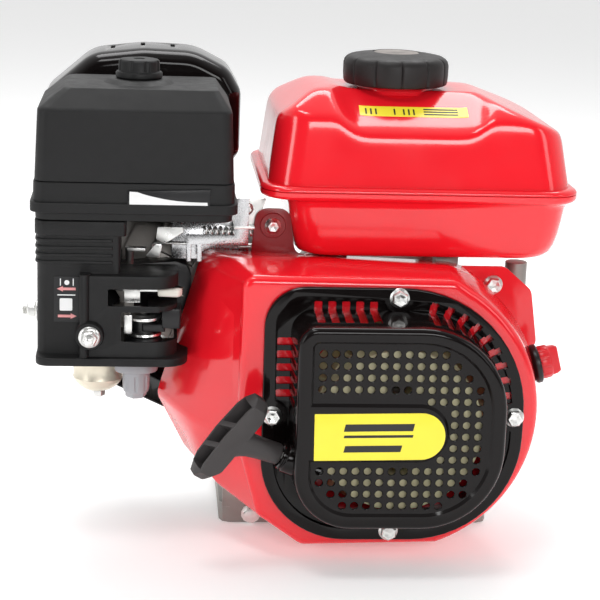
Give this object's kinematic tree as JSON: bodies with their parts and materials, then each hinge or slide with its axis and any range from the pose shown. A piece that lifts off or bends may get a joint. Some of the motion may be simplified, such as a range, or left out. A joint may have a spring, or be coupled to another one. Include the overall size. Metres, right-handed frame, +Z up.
{
  "type": "small gasoline engine",
  "caption": "Small air-cooled single-cylinder gasoline engine with recoil starter, top fuel tank and side air cleaner.",
  "frame": {"origin": "on the base plane, straight under the crankshaft, in the plane of the cylinder axis", "axes": "+Z up; +Y along the crankshaft towards the output; -Y is the recoil starter side; -X is the air cleaner side"},
  "size_m": [0.3773, 0.296, 0.342],
  "materials": {
    "cast_aluminium": "as cast, satin",
    "red_paint": "gloss enamel",
    "red_plastic": "satin",
    "black_paint": "gloss enamel",
    "black_plastic": "fine grain",
    "grey_plastic": "moulded",
    "cream_plastic": "moulded",
    "white_plastic": "moulded",
    "zinc": "zinc plated",
    "steel": "machined",
    "cast_iron": "rough",
    "bowl_metal": "passivated, satin",
    "foam": "open foam"
  },
  "bodies": {
    "root": {"cylinder_block": "cast_aluminium", "crankcase_cover": "cast_aluminium", "cylinder_head": "cast_aluminium", "rocker_cover": "black_paint", "spark_plug": "white_plastic", "lower_shroud": "black_paint", "fan_cover": "red_paint", "recoil_cover": "black_paint", "recoil_bolt_1": "zinc", "recoil_bolt_2": "zinc", "recoil_bolt_3": "zinc", "recoil_bolt_4": "zinc", "fan_cover_bolt_left": "zinc", "fan_cover_bolt_right": "zinc", "ignition_coil": "cast_iron", "fuel_tank_lower": "red_paint", "fuel_tank_upper": "red_paint", "air_cleaner_base": "black_plastic", "air_cleaner_case": "black_plastic", "air_filter_element": "foam", "air_cleaner_stud": "zinc", "carburetor_body": "cast_aluminium", "float_bowl": "bowl_metal", "bowl_drain_bolt": "zinc", "fuel_cock_body": "cast_aluminium", "sediment_cup": "grey_plastic", "insulator": "black_plastic", "control_plate": "zinc", "muffler": "cast_iron", "muffler_guard": "black_paint", "switch_body": "black_plastic", "elbow_nut_front": "zinc", "elbow_screw_side": "zinc", "oil_drain_bolt": "zinc"},
    "crank": {"crankshaft_flywheel_half": "steel", "crankshaft_output_half": "steel", "timing_gear": "steel", "flywheel": "cast_iron", "cooling_fan": "cream_plastic", "starter_cup": "steel", "flywheel_nut": "zinc"},
    "cam": {"camshaft": "steel"},
    "piston_set": {"piston": "cast_aluminium", "piston_pin": "steel", "connecting_rod": "cast_aluminium", "crank_pin": "steel"},
    "reel": {"starter_reel": "grey_plastic"},
    "grip": {"starter_grip": "black_plastic"},
    "choke": {"choke_lever": "white_plastic"},
    "fuel": {"fuel_lever": "black_plastic"},
    "throttle": {"throttle_lever": "zinc"},
    "governor": {"governor_arm": "zinc"},
    "governor_link": {"governor_rod": "zinc"},
    "carburetor_throttle": {"throttle_arm": "zinc"},
    "switch": {"switch_knob": "red_plastic"},
    "cap_plug": {"fuel_cap_inner": "steel"},
    "cap": {"fuel_cap": "black_plastic"},
    "cleaner_lid": {"air_cleaner_cover": "black_plastic"},
    "cleaner_knob": {"air_cleaner_knob": "black_plastic"},
    "dipstick": {"oil_dipstick": "black_plastic"}
  },
  "joints": [
    {"name": "crank_spin", "type": "hinge", "parent": "root", "child": "crank", "pos_m": [0, 0, 0.106], "axis": [0, 1, 0], "continuous": true},
    {"name": "cam_spin", "type": "hinge", "parent": "root", "child": "cam", "pos_m": [0.0228, 0, 0.057], "axis": [0, 1, 0], "continuous": true},
    {"name": "piston_stroke", "type": "slide", "parent": "root", "child": "piston_set", "axis": [-0.9063, 0, 0.4226], "range_m": [-0.054, 0]},
    {"name": "grip_pull", "type": "slide", "parent": "root", "child": "grip", "axis": [-0.9161, 0, 0.401], "range_m": [0, 0.45], "stiffness_N_per_m": 15, "springref_m": -0.5},
    {"name": "reel_spin", "type": "hinge", "parent": "root", "child": "reel", "pos_m": [0, 0, 0.106], "axis": [0, 1, 0], "range_deg": [0, 520]},
    {"name": "choke_turn", "type": "hinge", "parent": "root", "child": "choke", "pos_m": [-0.188, -0.08, 0.17], "axis": [0, 0, 1], "range_deg": [-45, 0]},
    {"name": "fuel_turn", "type": "hinge", "parent": "root", "child": "fuel", "pos_m": [-0.1705, -0.08, 0.152], "axis": [0, 0, 1], "range_deg": [-60, 0]},
    {"name": "throttle_turn", "type": "hinge", "parent": "root", "child": "throttle", "pos_m": [-0.104, -0.061, 0.222], "axis": [0, 1, 0], "range_deg": [0, 20]},
    {"name": "governor_turn", "type": "hinge", "parent": "root", "child": "governor", "pos_m": [-0.072, -0.0515, 0.146], "axis": [0, 1, 0], "range_deg": [-10, 0]},
    {"name": "governor_rod_slide", "type": "slide", "parent": "root", "child": "governor_link", "axis": [1, 0, 0], "range_m": [-0.0115, 0]},
    {"name": "throttle_arm_turn", "type": "hinge", "parent": "root", "child": "carburetor_throttle", "pos_m": [-0.181, -0.055, 0.1943], "axis": [0, 0, 1], "range_deg": [-61, 0]},
    {"name": "switch_turn", "type": "hinge", "parent": "root", "child": "switch", "pos_m": [0.10818, -0.086, 0.13499], "axis": [0.9659, 0, 0.2588], "range_deg": [0, 60]},
    {"name": "cap_lift", "type": "slide", "parent": "root", "child": "cap_plug", "axis": [0, 0, 1], "range_m": [0, 0.06]},
    {"name": "cap_turn", "type": "hinge", "parent": "cap_plug", "child": "cap", "pos_m": [0.006, -0.008, 0.3235], "axis": [0, 0, 1], "range_deg": [0, 90]},
    {"name": "lid_lift", "type": "slide", "parent": "root", "child": "cleaner_lid", "axis": [0, 0, 1], "range_m": [0, 0.1]},
    {"name": "lid_knob_turn", "type": "hinge", "parent": "cleaner_lid", "child": "cleaner_knob", "pos_m": [-0.176, -0.042, 0.327], "axis": [0, 0, 1], "range_deg": [0, 720]},
    {"name": "dipstick_draw", "type": "slide", "parent": "root", "child": "dipstick", "axis": [0.7877, 0.3581, 0.5013], "range_m": [0, 0.05]}
  ],
  "couplings": [
    {"joint": "cam_spin", "follows": "crank_spin", "ratio": -0.5},
    {"joint": "reel_spin", "follows": "grip_pull", "rad_per_m": 19.42},
    {"joint": "governor_rod_slide", "follows": "governor_turn", "m_per_rad": 0.0635},
    {"joint": "throttle_arm_turn", "follows": "governor_turn", "ratio": 6}
  ]
}
